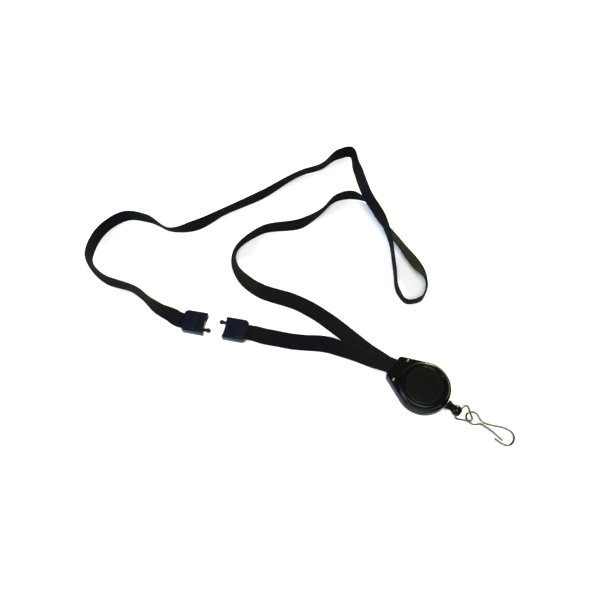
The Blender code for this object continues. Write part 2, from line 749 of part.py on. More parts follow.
reel_back_case()
reel_front_cover()
front_cap_disc()
case_pin("case_pin_left", 1)
case_pin("case_pin_right", -1)
spool()
power_spring()
wound_cord()
cord_lead()
cord_end_sleeve()
cord_end_knot()
d_ring()
snap_hook()
snap_hook_arm()
for side_name, left in (("left", True), ("right", False)):
    breakaway_half(side_name, left)
    breakaway_lid(side_name, left)
section = strap_section()
long_points = strap_points(reel_end(LOWER_STRAP_Z) + LONG_ROUTE + END_ROUTE + half_end(True))
long_run, end_run = cut_strap(long_points, LONG_ROUTE[-1])
strap("strap_long", long_run, section)
strap("strap_long_end", end_run, section)
strap("strap_short", strap_points(reel_end(UPPER_STRAP_Z) + SHORT_ROUTE + half_end(False)), section)
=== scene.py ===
"""The looks of the lanyard badge holder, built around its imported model.

Metres, +Z up. The origin is the centre of the reel's flat back, and +X runs from the reel to the hook.
"""

from math import acos, atan2, cos, pi, radians, sin, sqrt, tan

import bmesh
import bpy
from mathutils import Matrix, Vector


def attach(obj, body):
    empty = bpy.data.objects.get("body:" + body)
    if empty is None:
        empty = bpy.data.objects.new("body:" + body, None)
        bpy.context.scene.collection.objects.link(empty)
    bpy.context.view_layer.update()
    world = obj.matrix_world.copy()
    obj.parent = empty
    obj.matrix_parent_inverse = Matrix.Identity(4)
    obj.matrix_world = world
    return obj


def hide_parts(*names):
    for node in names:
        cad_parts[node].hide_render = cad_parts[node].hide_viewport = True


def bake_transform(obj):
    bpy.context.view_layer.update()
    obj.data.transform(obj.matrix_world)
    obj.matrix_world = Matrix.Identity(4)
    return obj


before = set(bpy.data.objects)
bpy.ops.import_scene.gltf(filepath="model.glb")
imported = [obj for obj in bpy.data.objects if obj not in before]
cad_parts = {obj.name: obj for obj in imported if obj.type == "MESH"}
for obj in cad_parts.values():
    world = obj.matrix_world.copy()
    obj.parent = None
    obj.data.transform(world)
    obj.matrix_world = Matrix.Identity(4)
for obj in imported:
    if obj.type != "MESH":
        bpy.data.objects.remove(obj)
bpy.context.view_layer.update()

# Camera: it looks down at the middle of the spread-out lanyard.
TARGET = Vector((-0.0942, 0.0024, 0))
AZIMUTH = radians(38.1)
ELEVATION = radians(62.5)
DISTANCE = 0.423
LENS = 40
FLOOR_HALF = 3
FLOOR_DROP = 0.0001

# The woven strap.
STRAP_WIDTH = 0.010
STRAP_THICKNESS = 0.0012
STRAP_STEP = 0.0016
SAMPLES_ACROSS = 64
EDGE_POWER = 4.5
RIB_PITCH = 0.00132
RIB_DEPTH = 0.00016
YARN_PITCH = 0.0008
STRAP_END_X = -0.015
LOWER_STRAP_Z = 0.0022
UPPER_STRAP_Z = 0.0039
HALF_STRAP_Z = 0.0024
REST_GAP = 0.0001
# Slow changes of the strap's width along its length: share, cycles in radians per metre, and start.
WIDTH_WAVER = [(0.012, 160, 0), (0.008, 371, 1)]

# Reel case.
GAP = 0.0003
CASE_RADIUS = 0.016
TAIL_END = 0.022
TAIL_HALF_WIDTH = 0.0085
TAIL_CORNER = 0.0025
FLOOR_TOP = 0.0012
SPLIT_HEIGHT = 0.0034
RIM_TOP = 0.0058
DOME_RADIUS = 0.0148
DOME_TOP = 0.0085
DOME_SHOULDER = 0.0022
CHAMBER_RADIUS = 0.0134
CHAMBER_TOP = 0.0062
CAP_RADIUS = 0.0119
CAP_BOTTOM = 0.0076
CAP_TOP = 0.0087
PIN_X = -0.0165
PIN_Y = 0.0076
PIN_RADIUS = 0.0006
PIN_HEAD_RADIUS = 0.001
SLOT_LOW = 0.0013
SLOT_HIGH = 0.0048
SLOT_HALF = 0.0054
SLOT_END = -0.0146
CORD_EXIT_RADIUS = 0.0009
CORD_EXIT_LENGTH = 0.006
BACK_EDGE = 0.0006
COVER_EDGE = 0.0009
DOME_FILLET = 0.0004
DOME_ROOT = 0.001
SEAT_CLEARANCE = 0.00012
SEAT_LIP = 0.0003
SEAT_LIP_DEPTH = 0.0002
CAP_CROWN = 0.00035
CAP_RIM = 0.0005
PIN_HEAD_RISE = 0.0006
PIN_HEAD_EDGE = 0.00005
PIN_FOOT = 0.001
PIN_HOLE_FOOT = 0.0007
PIN_HOLE_TOP = 0.010
# How far a cutting shape stands out past what it cuts.
OVERRUN = 0.002

# Pull cord and its moulded end.
CORD_RADIUS = 0.00045
AXIS_HEIGHT = 0.0038
SLEEVE_START = 0.0163
BALL_CENTRE = 0.0227
BALL_RADIUS = 0.0033
KNOT_CENTRE = 0.0216
KNOT_RADIUS = 0.00115
# The cord's line from the winding to its moulded end, as XY points at the axis height.
CORD_RUN = [(0.0098, 0.0069), (0.0120, 0.0038), (0.0134, 0.0016), (0.0147, 0.0003), (0.0162, 0.0)]
CORD_STEP = 0.00015
NECK_RADIUS = 0.0029
RIB_CREST = 0.0035
RIB_TAPER = 0.00035
NECK_RIBS = 3
NECK_RIB_DEPTH = 0.0006
NECK_RIB_PITCH = 0.001164
NECK_RIB_START = 0.0002
BORE_CLEARANCE = 0.00015
CAVITY_CLEARANCE = 0.00035
CAVITY_START = 0.0202
RING_CLEARANCE = 0.00012
RING_HOLE_HALF = 0.006
BALL_MOUTH_EDGE = 0.0001

# Ring and hook wires.
RING_WIRE = 0.00055
HOOK_WIRE = 0.0006
WIRE_STEP = 0.0003
WIRE_SIDES = 24

# Breakaway halves.
HALF_LENGTH = 0.0145
HALF_WIDTH = 0.014
HALF_HEIGHT = 0.005
BREAKAWAY_ANGLE = radians(27)
RIGHT_HALF_CENTRE = Vector((-0.1116, -0.0394, 0))
HALF_SPACING = 0.0263
HALF_CUT = 0.0022
HALF_CORNER = 0.0005
# The cut corner is bowed: its points as shares of the cut, ahead of the rear edge and in from the side.
CUT_BOW = [(0.62, 0.12), (0.3, 0.35), (0.1, 0.66)]
HALF_EDGE = 0.0006
HALF_SLOT_LOW = 0.0014
HALF_SLOT_HIGH = 0.0034
HALF_SLOT_DEPTH = 0.0085
SLOT_EDGE = 0.0003
DISH_RADIUS = 0.030
DISH_DEPTH = 0.0006
GROOVE_FAR = 0.0042
GROOVE_NEAR = 0.0037
GROOVE_HALF_WIDTH = 0.0062
GROOVE_DEPTH = 0.00025
LID_BACK = 0.0013
LID_LENGTH = 0.0080
LID_HALF_WIDTH = 0.0057
LID_BOTTOM = 0.0034
LID_TOP = 0.0053
LID_EDGE = 0.0004
LID_CLEARANCE = 0.00014
PEG_OFFSET = 0.0036
PEG_LENGTH = 0.0040
PEG_BULB = 0.0015
PEG_STEM = 0.0010
PEG_ROOT = 0.0020
PEG_STEM_TOP = 0.0010
SOCKET_RADIUS = 0.0019
SOCKET_DEPTH = 0.0052
# The height that the shapes that cut a half reach up to.
CUT_TOP = 0.008

# Free routes of the straps: x, y and lift off the surface in metres, and the roll of the width in degrees.
# The ends inside the reel and inside the breakaway are worked out from those parts.
LONG_ROUTE = [
    (-0.034, 0.000, 0.0004, 0), (-0.095, -0.001, 0, -6), (-0.117, -0.008, 0, 0), (-0.130, -0.009, 0, 25),
    (-0.140, -0.006, 0, 60), (-0.147, 0.001, 0, 90), (-0.145, 0.025, 0, 93),
    (-0.127, 0.047, 0, 84), (-0.123, 0.060, 0, 100), (-0.121, 0.078, 0, 97), (-0.114, 0.086, 0, 93),
    (-0.105, 0.088, 0, 115), (-0.089, 0.082, 0, 132), (-0.066, 0.074, 0, 139), (-0.046, 0.066, 0, 143),
    (-0.0365, 0.059, 0, 98), (-0.0335, 0.048, 0, 84), (-0.040, 0.0405, 0, 77), (-0.047, 0.043, 0, 86),
    (-0.059, 0.056, 0, 90), (-0.071, 0.068, 0.005, 90), (-0.083, 0.076, 0.010, 98),
    (-0.097, 0.082, 0.0115, 108), (-0.125, 0.105, 0.003, 110), (-0.138, 0.115, 0, 98),
    (-0.143, 0.108, 0, 92), (-0.146, 0.092, 0, 77), (-0.153, 0.080, 0, 75), (-0.163, 0.048, 0, 89),
    (-0.174, 0.022, 0, 82), (-0.182, 0.001, 0, 97), (-0.192, -0.011, 0, 71), (-0.210, -0.014, 0, 87),
    (-0.223, -0.021, 0, 93),
    (-0.228, -0.036, 0, 98), (-0.225, -0.051, 0, 102), (-0.219, -0.060, 0, 102), (-0.207, -0.064, 0, 118),
]
END_ROUTE = [
    (-0.201, -0.064, 0, 130), (-0.196, -0.063, 0, 140), (-0.190, -0.061, 0, 141), (-0.184, -0.059, 0, 138),
    (-0.179, -0.058, 0, 132), (-0.174, -0.058, 0, 127), (-0.169, -0.058, 0, 128), (-0.164, -0.058, 0, 138),
    (-0.159, -0.058, 0, 150), (-0.154, -0.057, 0.0004, 162), (-0.149, -0.056, 0.0010, 172),
    (-0.146, -0.056, 0.0014, 176), (-0.144, -0.0555, 0.0016, 179),
]
SHORT_ROUTE = [
    (-0.028, -0.002, 0.0030, -1), (-0.034, -0.004, 0.0026, -2), (-0.041, -0.006, 0.0022, -4),
    (-0.048, -0.008, 0.0018, -8), (-0.054, -0.010, 0.0012, -12), (-0.060, -0.012, 0.0008, -15),
    (-0.066, -0.015, 0.0004, -15), (-0.072, -0.019, 0, -14), (-0.080, -0.024, 0, -14),
    (-0.088, -0.028, 0.0002, -12), (-0.096, -0.032, 0.0008, -7), (-0.101, -0.034, 0.0014, -3),
    (-0.103, -0.035, 0.0016, -1),
]

# The ring is a triangle with rounded corners.
RING_CORNERS = [(0.0252, 0.0066, 0.0056), (0.0340, 0.0014, 0.0010), (0.0234, -0.0046, 0.0023)]
RING_CORNER_RADIUS = 0.0015
# The hook is an eye, a straight shank, an end bend and a nose, and its arm closes on the nose.
EYE_CENTRE = (0.0325, 0.0027, 0.0021)
EYE_RADIUS = 0.0040
EYE_TILT = radians(13.5)
EYE_FROM = radians(82)
EYE_TO = radians(293)
BEND_CENTRE = (0.0532, 0.0052, 0.0007)
BEND_RADIUS = 0.0047
BEND_FROM = radians(-90)
BEND_TO = radians(106)
NOSE_X = 0.0488
SHANK_FOOT = (0.0362, 0.0050, 0.0010)
ARM_OUTLINE = [(0.0350, -0.0003), (0.0378, 0.0022), (0.0405, 0.0026), (0.0526, 0.0022)]
ARM_START_HEIGHT = 0.0029
ARM_FALL = 0.10


def set_camera():
    """The camera, square to the view's azimuth and looking down at the target."""
    away = Vector((-sin(AZIMUTH), cos(AZIMUTH), 0))
    place = TARGET - away * DISTANCE * cos(ELEVATION) + Vector((0, 0, DISTANCE * sin(ELEVATION)))
    data = bpy.data.cameras.new("camera")
    data.lens = LENS
    data.sensor_width = 36
    data.clip_start = 0.01
    camera = bpy.data.objects.new("camera", data)
    camera.location = place
    camera.rotation_euler = (TARGET - place).to_track_quat("-Z", "Y").to_euler()
    bpy.context.collection.objects.link(camera)
    bpy.context.scene.camera = camera


# ---- materials ----


def new_material(name, colour, roughness, metallic=0.0):
    """A material and its node tree, with the shader's own sockets set."""
    material = bpy.data.materials.new(name)
    material.use_nodes = True
    shader = material.node_tree.nodes["Principled BSDF"]
    shader.inputs["Base Color"].default_value = (*colour, 1)
    shader.inputs["Roughness"].default_value = roughness
    shader.inputs["Metallic"].default_value = metallic
    return material, shader


def add_node(material, kind, **inputs):
    node = material.node_tree.nodes.new(kind)
    for name, value in inputs.items():
        node.inputs[name.replace("_", " ")].default_value = value
    return node


def math_node(material, operation, first, second):
    """A Math node; each operand is a number or a socket."""
    node = material.node_tree.nodes.new("ShaderNodeMath")
    node.operation = operation
    for socket, value in zip(node.inputs, (first, second)):
        if isinstance(value, (int, float)):
            socket.default_value = value
        else:
            material.node_tree.links.new(value, socket)
    return node.outputs[0]


def noise(material, scale, detail=3.0, roughness=0.6):
    """Noise in object space, whose scale is in features per metre."""
    links = material.node_tree.links
    place = material.node_tree.nodes.new("ShaderNodeTexCoord")
    node = add_node(material, "ShaderNodeTexNoise", Scale=scale, Detail=detail, Roughness=roughness)
    links.new(place.outputs["Object"], node.inputs["Vector"])
    return node.outputs["Fac"]


def spread_of(material, value, low, high):
    """A value from 0 to 1, remapped to a range."""
    node = material.node_tree.nodes.new("ShaderNodeMapRange")
    node.inputs["To Min"].default_value = low
    node.inputs["To Max"].default_value = high
    material.node_tree.links.new(value, node.inputs["Value"])
    return node.outputs["Result"]


def colour_mix(material, value, dark, light):
    """A colour between two, chosen by a value from 0 to 1."""
    ramp = material.node_tree.nodes.new("ShaderNodeValToRGB")
    ramp.color_ramp.elements[0].color = (*dark, 1)
    ramp.color_ramp.elements[1].color = (*light, 1)
    material.node_tree.links.new(value, ramp.inputs["Fac"])
    return ramp.outputs["Color"]


def add_bump(material, shader, height, strength, distance):
    bump = add_node(material, "ShaderNodeBump", Strength=strength, Distance=distance)
    material.node_tree.links.new(height, bump.inputs["Height"])
    material.node_tree.links.new(bump.outputs["Normal"], shader.inputs["Normal"])


def plastic_material(name, colour, roughness, grain, coat=0.0):
    """Moulded plastic: a fine grain, faint flow marks in its gloss, and an uneven black."""
    material, shader = new_material(name, colour, roughness)
    links = material.node_tree.links
    flow = noise(material, 180.0, 2.0)
    links.new(spread_of(material, flow, roughness * 0.8, roughness * 1.3), shader.inputs["Roughness"])
    shade = colour_mix(material, flow, [c * 0.75 for c in colour], [c * 1.4 for c in colour])
    links.new(shade, shader.inputs["Base Color"])
    shader.inputs["Specular IOR Level"].default_value = 0.12
    shader.inputs["Coat Weight"].default_value = coat
    shader.inputs["Coat Roughness"].default_value = 0.12
    add_bump(material, shader, noise(material, 3500.0, 2.0), grain, 0.00002)
    return material


def wire_material():
    """Plated wire: bright, with drawn streaks, dull patches and a slightly darker tone in places."""
    material, shader = new_material("wire_steel", (0.62, 0.62, 0.60), 0.22, 1.0)
    links = material.node_tree.links
    patches = noise(material, 420.0, 4.0)
    tone = colour_mix(material, patches, (0.012, 0.013, 0.010), (0.20, 0.21, 0.18))
    links.new(tone, shader.inputs["Base Color"])
    links.new(spread_of(material, patches, 0.14, 0.34), shader.inputs["Roughness"])
    add_bump(material, shader, noise(material, 1500.0, 2.0), 0.08, 0.00002)
    return material


def cord_material():
    """Twisted nylon: slanted strands round the cord."""
    material, shader = new_material("cord_nylon", (0.015, 0.015, 0.016), 0.6)
    links = material.node_tree.links
    place = material.node_tree.nodes.new("ShaderNodeTexCoord")
    strands = add_node(material, "ShaderNodeTexWave", Scale=350.0, Distortion=0.5)
    strands.bands_direction = "DIAGONAL"
    links.new(place.outputs["Object"], strands.inputs["Vector"])
    height = strands.outputs["Fac"]
    tone = colour_mix(material, height, (0.006, 0.006, 0.007), (0.03, 0.03, 0.032))
    links.new(tone, shader.inputs["Base Color"])
    shader.inputs["Sheen Weight"].default_value = 0.2
    add_bump(material, shader, height, 0.5, 0.0001)
    return material


def spring_material():
    """Blued spring strip with lengthwise rolling marks."""
    material, shader = new_material("spring_strip", (0.30, 0.33, 0.40), 0.3, 1.0)
    links = material.node_tree.links
    marks = noise(material, 900.0, 3.0)
    links.new(spread_of(material, marks, 0.2, 0.42), shader.inputs["Roughness"])
    tone = colour_mix(material, marks, (0.06, 0.07, 0.10), (0.20, 0.22, 0.26))
    links.new(tone, shader.inputs["Base Color"])
    return material


def web_material():
    """Black braided webbing. Yarns run slantwise along each rib and turn back at its edges; the colour
    also carries painted light and shade that changes across each rib.
    """
    material, shader = new_material("strap_fabric", (0.010, 0.010, 0.011), 0.62)
    links = material.node_tree.links

    def measure(name):
        node = material.node_tree.nodes.new("ShaderNodeAttribute")
        node.attribute_name = name
        return node.outputs["Fac"]

    turn = math_node(material, "PINGPONG", measure("across"), RIB_PITCH / 2)
    slant = math_node(material, "ADD", measure("along"), turn)
    phase = math_node(material, "MULTIPLY", slant, 2 * pi / YARN_PITCH)
    wave = math_node(material, "SINE", phase, 0)
    yarn = math_node(material, "MULTIPLY_ADD", wave, 0.5)
    yarn.node.inputs[2].default_value = 0.5
    fuzz = noise(material, 4200.0, 4.0, 0.7)
    height = math_node(material, "ADD", yarn, math_node(material, "MULTIPLY", fuzz, 0.9))
    # Painted light and shade: crest scales the colour by the place across each rib pitch, darkest on the
    # rib tops and lightest in the grooves, so tone is the yarn pattern times painted light and shade.
    crest = math_node(material, "DIVIDE", turn, RIB_PITCH / 2)
    tone = math_node(material, "MULTIPLY", math_node(material, "MULTIPLY", height, 0.75), crest)
    links.new(colour_mix(material, tone, (0.0003, 0.0003, 0.0004), (0.0070, 0.0078, 0.0095)),
              shader.inputs["Base Color"])
    links.new(spread_of(material, fuzz, 0.5, 0.8), shader.inputs["Roughness"])
    shader.inputs["Sheen Weight"].default_value = 0.012
    shader.inputs["Sheen Roughness"].default_value = 0.35
    shader.inputs["Specular IOR Level"].default_value = 0.03
    add_bump(material, shader, height, 0.8, 0.00012)
    return material


def floor_material():
    material, shader = new_material("pale_floor", (0.93, 0.93, 0.93), 0.75)
    links = material.node_tree.links
    tone = colour_mix(material, noise(material, 25.0, 2.0), (0.92, 0.92, 0.92), (0.95, 0.95, 0.95))
    links.new(tone, shader.inputs["Base Color"])
    return material


# ---- shared modelling helpers ----


def spaced(start, end, steps):
    """Evenly spaced values from start to end, both included."""
    return [start + (end - start) * i / steps for i in range(steps + 1)]


def link(obj):
    bpy.context.collection.objects.link(obj)
    return obj


def mesh_object(name, build):
    """A mesh object whose bmesh is filled by build, welded and with its faces turned out."""
    mesh = bpy.data.meshes.new(name)
    bm = bmesh.new()
    build(bm)
    bmesh.ops.remove_doubles(bm, verts=bm.verts, dist=1e-6)
    bmesh.ops.recalc_face_normals(bm, faces=bm.faces)
    bm.to_mesh(mesh)
    bm.free()
    return link(bpy.data.objects.new(name, mesh))


def as_mesh(obj):
    """Replace an object by the welded mesh of its evaluated shape."""
    bpy.context.view_layer.update()
    graph = bpy.context.evaluated_depsgraph_get()
    mesh = bpy.data.meshes.new_from_object(obj.evaluated_get(graph))
    mesh.transform(obj.matrix_world)
    bm = bmesh.new()
    bm.from_mesh(mesh)
    bmesh.ops.remove_doubles(bm, verts=bm.verts, dist=1e-6)
    bmesh.ops.recalc_face_normals(bm, faces=bm.faces)
    bm.to_mesh(mesh)
    bm.free()
    name = obj.name
    bpy.data.objects.remove(obj, do_unlink=True)
    return link(bpy.data.objects.new(name, mesh))


def slab(name, outline, bottom, top):
    """A flat outline of XY points, extruded between two heights."""

    def build(bm):
        low = [bm.verts.new((x, y, bottom)) for x, y in outline]
        high = [bm.verts.new((x, y, top)) for x, y in outline]
        bm.faces.new(low)
        bm.faces.new(high)
        for i in range(len(outline)):
            bm.faces.new((low[i - 1], low[i], high[i], high[i - 1]))

    return mesh_object(name, build)


def turned(name, profile, steps):
    """A closed profile of (radius, height) points turned about Z."""
    mesh = bpy.data.meshes.new(name)
    count = len(profile)
    edges = [(i, i + 1) for i in range(count - 1)]
    if profile[0][0] > 0 or profile[-1][0] > 0:
        edges.append((count - 1, 0))
    mesh.from_pydata([(radius, 0, height) for radius, height in profile], edges, [])
    obj = link(bpy.data.objects.new(name, mesh))
    screw = obj.modifiers.new("turn", "SCREW")
    screw.steps = steps
    screw.render_steps = steps
    screw.use_merge_vertices = True
    screw.merge_threshold = 1e-6
    return as_mesh(obj)


def cylinder(name, radius, bottom, top, steps, place=Matrix()):
    def build(bm):
        middle = Matrix.Translation((0, 0, (bottom + top) / 2))
        bmesh.ops.create_cone(bm, cap_ends=True, segments=steps, radius1=radius, radius2=radius,
                              depth=top - bottom, matrix=place @ middle)

    return mesh_object(name, build)


def box(name, low, high):
    low = Vector(low)
    high = Vector(high)

    def build(bm):
        scale = Matrix.Diagonal((*(high - low), 1))
        bmesh.ops.create_cube(bm, size=1, matrix=Matrix.Translation((low + high) / 2) @ scale)

    return mesh_object(name, build)


def bevelled(obj, width, segments=4, angle=40):
    bevel = obj.modifiers.new("edges", "BEVEL")
    bevel.width = width
    bevel.segments = segments
    bevel.limit_method = "ANGLE"
    bevel.angle_limit = radians(angle)
    return as_mesh(obj)


def combine(obj, tool, operation):
    """obj joined or cut by another object, which is used up."""
    step = obj.modifiers.new("combine", "BOOLEAN")
    step.operation = operation
    step.object = tool
    made = as_mesh(obj)
    bpy.data.objects.remove(tool, do_unlink=True)
    return made


def along_x(x, y, z):
    """A frame whose +Z runs along the world's +X, with its origin at the given point."""
    return Matrix.Translation((x, y, z)) @ Matrix.Rotation(pi / 2, 4, "Y")


def dress(obj, material, slot, body, *nodes):
    """Give a finished piece its material and its body, and hide the CAD nodes that it stands for."""
    obj.data.materials.clear()
    obj.data.materials.append(material)
    obj.data.shade_smooth()
    obj.data.set_sharp_from_angle(angle=radians(38))
    if nodes:
        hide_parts(*nodes)
    if body:
        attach(obj, body)


def smooth_points(route, step):
    """Points on a smooth curve through every row of the route, each span cut into steps."""
    rows = [Vector(row) for row in route]
    at = [0.0]
    for a, b in zip(rows, rows[1:]):
        at.append(at[-1] + (b.xyz - a.xyz).length)
    slopes = [(rows[1] - rows[0]) / (at[1] - at[0])]
    for i in range(1, len(rows) - 1):
        before = at[i] - at[i - 1]
        after = at[i + 1] - at[i]
        arriving = (rows[i] - rows[i - 1]) / before
        leaving = (rows[i + 1] - rows[i]) / after
        slopes.append((arriving * after + leaving * before) / (before + after))
    slopes.append((rows[-1] - rows[-2]) / (at[-1] - at[-2]))
    points = []
    for i in range(len(rows) - 1):
        span = at[i + 1] - at[i]
        count = max(1, round(span / step))
        for j in range(count):
            u = j / count
            points.append(
                rows[i] * (2 * u**3 - 3 * u**2 + 1)
                + slopes[i] * span * (u**3 - 2 * u**2 + u)
                + rows[i + 1] * (3 * u**2 - 2 * u**3)
                + slopes[i + 1] * span * (u**3 - u**2)
            )
    points.append(rows[-1])
    return points


def tube(name, points, radius, sides, closed=False):
    """A round wire through the points, with domed ends, carried round without twisting."""
    points = [Vector(point[:3]) for point in points]
    count = len(points)
    tangents = []
    for i in range(count):
        if closed:
            tangents.append((points[(i + 1) % count] - points[i - 1]).normalized())
        else:
            tangents.append((points[min(i + 1, count - 1)] - points[max(i - 1, 0)]).normalized())
    side = tangents[0].orthogonal().normalized()
    rings = []
    for point, tangent in zip(points, tangents):
        side = (side - tangent * side.dot(tangent)).normalized()
        rings.append((point, tangent, side, radius))
    if not closed:
        dome = [(0.45, 0.90), (0.80, 0.62), (0.96, 0.28)]
        reach = radius * 0.6
        first = rings[0]
        last = rings[-1]
        for out, share in dome:
            rings.insert(0, (first[0] - first[1] * reach * out, first[1], first[2], radius * share))
            rings.append((last[0] + last[1] * reach * out, last[1], last[2], radius * share))

    def build(bm):
        made = []
        for centre, tangent, across, size in rings:
            other = tangent.cross(across)
            turns = [2 * pi * k / sides for k in range(sides)]
            made.append([bm.verts.new(centre + (across * cos(t) + other * sin(t)) * size) for t in turns])
        pairs = list(zip(made, made[1:]))
        if closed:
            pairs.append((made[-1], made[0]))
        for a, b in pairs:
            for k in range(sides):
                bm.faces.new((a[k - 1], a[k], b[k], b[k - 1]))
        if not closed:
            bm.faces.new(made[0])
            bm.faces.new(made[-1])

    return mesh_object(name, build)


# ---- the strap ----


def strap_profile():
    """Points round the strap's section: flat faces with lengthwise ribs, and rounded edges."""
    upper = []
    for i in range(SAMPLES_ACROSS + 1):
        x = STRAP_WIDTH / 2 * sin(pi / 2 * (1 - 2 * i / SAMPLES_ACROSS))
        share = min(1.0, abs(2 * x / STRAP_WIDTH))
        height = STRAP_THICKNESS / 2 * (1 - share**EDGE_POWER) ** (1 / EDGE_POWER)
        rib = 0.5 - 0.5 * cos(2 * pi * x / RIB_PITCH)
        upper.append((x, height - RIB_DEPTH * rib * (1 - share**EDGE_POWER)))
    lower = [(x, -y) for x, y in reversed(upper[1:-1])]
    return upper + lower


def resting_height(roll):
    """The height of a rolled strap's centre line when its lowest edge is on the surface."""
    return STRAP_WIDTH / 2 * abs(sin(roll)) + STRAP_THICKNESS / 2 * abs(cos(roll)) + REST_GAP


def reel_end(height):
    """A strap's two points in the reel's tail, at the height of its place in the slot."""
    lift = height - resting_height(0)
    return [(STRAP_END_X, 0, lift, 0), (-TAIL_END, 0, lift, 0)]


def half_end(left):
    """A strap's two points in a breakaway half: at its rear edge and at its middle."""
    lift = HALF_STRAP_Z - resting_height(0)
    roll = 180 if left else 0
    points = [breakaway_place(left) @ Vector((x, 0, 0)) for x in (-HALF_LENGTH / 2, 0)]
    return [(point.x, point.y, lift, roll) for point in points]


def strap_steps(route):
    """Closely spaced stations along a strap: centre, width's direction, face's normal, distance run."""
    rows = smooth_points([(x, y, lift, radians(roll)) for x, y, lift, roll in route], STRAP_STEP)
    centres = [Vector((x, y, max(lift, 0) + resting_height(roll))) for x, y, lift, roll in rows]
    steps = []
    run = 0.0
    for i, centre in enumerate(centres):
        behind = centres[max(i - 1, 0)]
        tangent = (centres[min(i + 1, len(rows) - 1)] - behind).normalized()
        level = Vector((0, 0, 1)).cross(tangent).normalized()
        wide = level * cos(rows[i][3]) + tangent.cross(level) * sin(rows[i][3])
        run += (centre - behind).length
        steps.append((centre, wide, tangent.cross(wide), run))
    return steps


def strap_piece(name, steps, material, node):
    """A length of the woven strap through its stations."""
    profile = strap_profile()
    mesh = bpy.data.meshes.new(name)
    bm = bmesh.new()
    along_layer = bm.verts.layers.float.new("along")
    across_layer = bm.verts.layers.float.new("across")
    rings = []
    for centre, wide, face, run in steps:
        breadth = 1 + sum(share * sin(run * rate + start) for share, rate, start in WIDTH_WAVER)
        ring = []
        for x, y in profile:
            vert = bm.verts.new(centre + wide * x * breadth + face * y)
            vert[along_layer] = run
            vert[across_layer] = x
            ring.append(vert)
        rings.append(ring)
    for a, b in zip(rings, rings[1:]):
        for k in range(len(profile)):
            bm.faces.new((a[k - 1], a[k], b[k], b[k - 1]))
    bm.faces.new(rings[0])
    bm.faces.new(rings[-1])
    bmesh.ops.recalc_face_normals(bm, faces=bm.faces)
    bm.to_mesh(mesh)
    bm.free()
    obj = link(bpy.data.objects.new(name, mesh))
    dress(obj, material, "strap_fabric", None, node)
    return obj


# ---- the reel ----


def case_outline(big_steps=150, small_steps=12):
    """The reel's outline: a circle, and a tail that runs off it along its tangents."""
    corner_x = -TAIL_END + TAIL_CORNER
    corner_y = TAIL_HALF_WIDTH - TAIL_CORNER
    reach = sqrt(corner_x**2 + corner_y**2)
    tangent = atan2(corner_y, corner_x) - acos((CASE_RADIUS - TAIL_CORNER) / reach)
    outline = []
    for angle in spaced(-tangent, tangent, big_steps):
        outline.append((CASE_RADIUS * cos(angle), CASE_RADIUS * sin(angle)))
    corner = []
    for angle in spaced(tangent, pi, small_steps):
        corner.append((corner_x + TAIL_CORNER * cos(angle), corner_y + TAIL_CORNER * sin(angle)))
    return outline + corner + [(x, -y) for x, y in reversed(corner)]


def cut_case(obj):
    """Cut the hollows that both halves of the case share."""
    obj = combine(obj, cylinder("chamber", CHAMBER_RADIUS, FLOOR_TOP, CHAMBER_TOP, 96), "DIFFERENCE")
    slot = box("slot", (-TAIL_END - OVERRUN, -SLOT_HALF, SLOT_LOW), (SLOT_END, SLOT_HALF, SLOT_HIGH))
    obj = combine(obj, slot, "DIFFERENCE")
    place = along_x(CHAMBER_RADIUS - OVERRUN / 2, 0, AXIS_HEIGHT)
    obj = combine(obj, cylinder("exit", CORD_EXIT_RADIUS, 0, CORD_EXIT_LENGTH, 40, place), "DIFFERENCE")
    for side in (1, -1):
        place = Matrix.Translation((PIN_X, side * PIN_Y, 0))
        hole = cylinder("pin_hole", PIN_RADIUS + GAP, PIN_HOLE_FOOT, PIN_HOLE_TOP, 32, place)
        obj = combine(obj, hole, "DIFFERENCE")
    return obj


def case_back(material):
    case = bevelled(slab("case_back", case_outline(), 0, SPLIT_HEIGHT), BACK_EDGE)
    dress(cut_case(case), material, "case_plastic", "root", "reel_back_case")


def case_cover(material):
    """The front half: a winged rim, a round dome with a soft shoulder and a seat for the disc."""
    cover = bevelled(slab("case_cover", case_outline(), SPLIT_HEIGHT + GAP / 2, RIM_TOP), COVER_EDGE, 6)
    profile = [(0, DOME_TOP)]
    for angle in spaced(pi / 2, 0, 16):
        radius = DOME_RADIUS - DOME_SHOULDER * (1 - cos(angle))
        profile.append((radius, DOME_TOP - DOME_SHOULDER * (1 - sin(angle))))
    for angle in spaced(0, pi / 2, 5):
        radius = DOME_RADIUS + DOME_FILLET * (1 - cos(angle))
        profile.append((radius, RIM_TOP + DOME_FILLET * (1 - sin(angle))))
    profile += [(DOME_RADIUS + DOME_FILLET, RIM_TOP - DOME_ROOT), (0, RIM_TOP - DOME_ROOT)]
    cover = combine(cover, turned("dome", profile, 160), "UNION")
    seat = [
        (0, CAP_BOTTOM - GAP),
        (CAP_RADIUS + SEAT_CLEARANCE, CAP_BOTTOM - GAP),
        (CAP_RADIUS + SEAT_CLEARANCE, DOME_TOP - SEAT_LIP_DEPTH),
        (CAP_RADIUS + SEAT_LIP, DOME_TOP),
        (CAP_RADIUS + SEAT_LIP, DOME_TOP + OVERRUN / 2),
        (0, DOME_TOP + OVERRUN / 2),
    ]
    cover = combine(cover, turned("seat", seat, 128), "DIFFERENCE")
    dress(cut_case(cover), material, "case_plastic", "root", "reel_front_cover")


